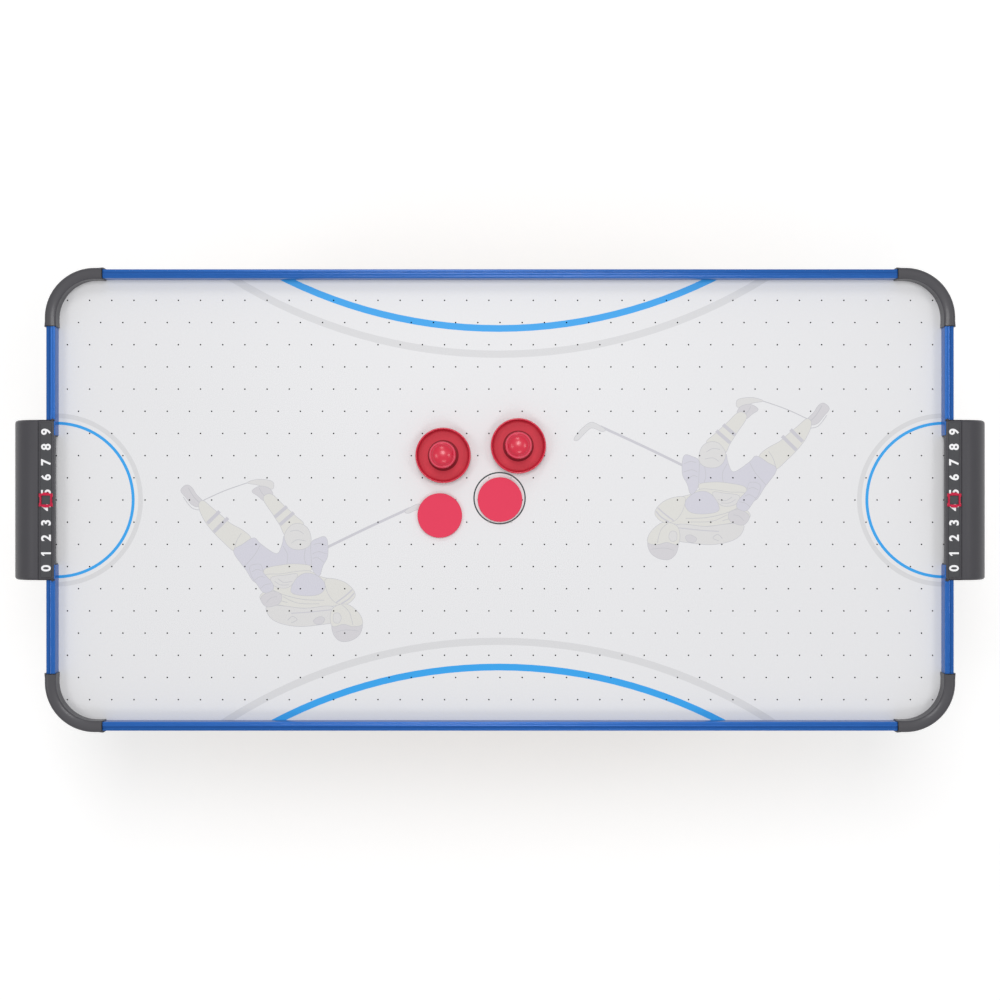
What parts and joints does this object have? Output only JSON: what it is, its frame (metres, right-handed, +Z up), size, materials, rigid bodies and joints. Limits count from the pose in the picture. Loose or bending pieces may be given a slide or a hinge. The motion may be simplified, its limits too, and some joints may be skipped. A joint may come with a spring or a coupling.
{
  "type": "air hockey table",
  "caption": "Raised air hockey table: perforated playfield between rails, a goal with a sliding scorer at each end, a fan under it, levelling feet, pucks and pushers.",
  "frame": {"origin": "on the floor under the table's centre", "axes": "+X along the table, +Y across it towards the side without the switch, +Z up"},
  "size_m": [1.644, 0.778, 0.8201],
  "materials": {
    "printed_deck": "white printed laminate on board, satin",
    "bare_board": "bare fibreboard",
    "black_laminate": "black grained laminate on board",
    "blue_rail": "blue anodised, grooved",
    "charcoal_cap": "charcoal, fine moulded texture",
    "charcoal_goal": "charcoal, satin moulded",
    "scorer_dark": "dark with white printed digits",
    "marker_red": "glossy red",
    "shoe_black": "black moulded",
    "zinc_steel": "zinc plated",
    "fan_black": "black moulded",
    "motor_steel": "turned steel",
    "guard_wire": "plated wire",
    "gasket_foam": "closed cell foam",
    "lead_black": "black PVC sheath",
    "clip_white": "white nylon",
    "switch_black": "black moulded",
    "puck_red": "red, satin gloss",
    "pusher_red": "red, high gloss",
    "felt_grey": "light grey felt"
  },
  "bodies": {
    "cabinet": {"playfield": "printed_deck", "plenum_base": "bare_board", "plenum_frame": "bare_board", "plenum_ribs": "bare_board", "corner_blocks": "bare_board", "apron_front": "black_laminate", "apron_back": "black_laminate", "apron_left": "black_laminate", "apron_right": "black_laminate", "end_brace_left": "black_laminate", "end_brace_right": "black_laminate", "leg_front_left": "black_laminate", "leg_front_right": "black_laminate", "leg_back_left": "black_laminate", "leg_back_right": "black_laminate", "rail_front": "blue_rail", "rail_back": "blue_rail", "rail_left_front": "blue_rail", "rail_left_back": "blue_rail", "rail_right_front": "blue_rail", "rail_right_back": "blue_rail", "corner_front_left": "charcoal_cap", "corner_front_right": "charcoal_cap", "corner_back_left": "charcoal_cap", "corner_back_right": "charcoal_cap", "goal_hood_left": "charcoal_goal", "goal_hood_right": "charcoal_goal", "goal_tray_left": "charcoal_goal", "goal_tray_right": "charcoal_goal", "score_strip_left": "scorer_dark", "score_strip_right": "scorer_dark", "shoe_front_left": "shoe_black", "shoe_front_right": "shoe_black", "shoe_back_left": "shoe_black", "shoe_back_right": "shoe_black", "leg_bolts": "zinc_steel", "case_screws": "zinc_steel", "fan_screws": "zinc_steel", "fan_housing": "fan_black", "fan_motor": "motor_steel", "fan_guard": "guard_wire", "fan_gasket": "gasket_foam", "fan_lead": "lead_black", "lead_clips": "clip_white", "switch_plate": "switch_black", "power_inlet": "switch_black"},
    "marker_left": {"score_marker_left": "marker_red"},
    "marker_right": {"score_marker_right": "marker_red"},
    "rocker": {"power_rocker": "switch_black"},
    "impeller": {"fan_impeller": "fan_black"},
    "puck_one": {"puck_one": "puck_red"},
    "puck_two": {"puck_two": "puck_red"},
    "pusher_one": {"pusher_one": "pusher_red", "pusher_felt_one": "felt_grey"},
    "pusher_two": {"pusher_two": "pusher_red", "pusher_felt_two": "felt_grey"},
    "foot_front_left": {"leveler_front_left": "zinc_steel"},
    "foot_front_right": {"leveler_front_right": "zinc_steel"},
    "foot_back_left": {"leveler_back_left": "zinc_steel"},
    "foot_back_right": {"leveler_back_right": "zinc_steel"}
  },
  "joints": [
    {"name": "marker_left_slide", "type": "slide", "parent": "cabinet", "child": "marker_left", "axis": [0, 1, 0], "range_m": [-0.1139, 0.1139]},
    {"name": "marker_right_slide", "type": "slide", "parent": "cabinet", "child": "marker_right", "axis": [0, 1, 0], "range_m": [-0.1139, 0.1139]},
    {"name": "power_rocker", "type": "hinge", "parent": "cabinet", "child": "rocker", "pos_m": [0.52, -0.38, 0.7], "axis": [-1, 0, 0], "range_deg": [0, 20]},
    {"name": "fan_spin", "type": "hinge", "parent": "cabinet", "child": "impeller", "pos_m": [0, 0, 0.705], "axis": [0, 0, 1], "continuous": true},
    {"name": "puck_one_glide", "type": "slide", "parent": "cabinet", "child": "puck_one", "axis": [-1, 0, 0], "range_m": [0, 0.652]},
    {"name": "puck_two_glide", "type": "slide", "parent": "cabinet", "child": "puck_two", "axis": [1, 0, 0], "range_m": [0, 0.754]},
    {"name": "pusher_one_glide", "type": "slide", "parent": "cabinet", "child": "pusher_one", "axis": [-1, 0, 0], "range_m": [0, 0.6]},
    {"name": "pusher_two_glide", "type": "slide", "parent": "cabinet", "child": "pusher_two", "axis": [1, 0, 0], "range_m": [0, 0.664]},
    {"name": "foot_front_left_screw", "type": "slide", "parent": "cabinet", "child": "foot_front_left", "axis": [0, 0, -1], "range_m": [0, 0.015]},
    {"name": "foot_front_right_screw", "type": "slide", "parent": "cabinet", "child": "foot_front_right", "axis": [0, 0, -1], "range_m": [0, 0.015]},
    {"name": "foot_back_left_screw", "type": "slide", "parent": "cabinet", "child": "foot_back_left", "axis": [0, 0, -1], "range_m": [0, 0.015]},
    {"name": "foot_back_right_screw", "type": "slide", "parent": "cabinet", "child": "foot_back_right", "axis": [0, 0, -1], "range_m": [0, 0.015]}
  ]
}
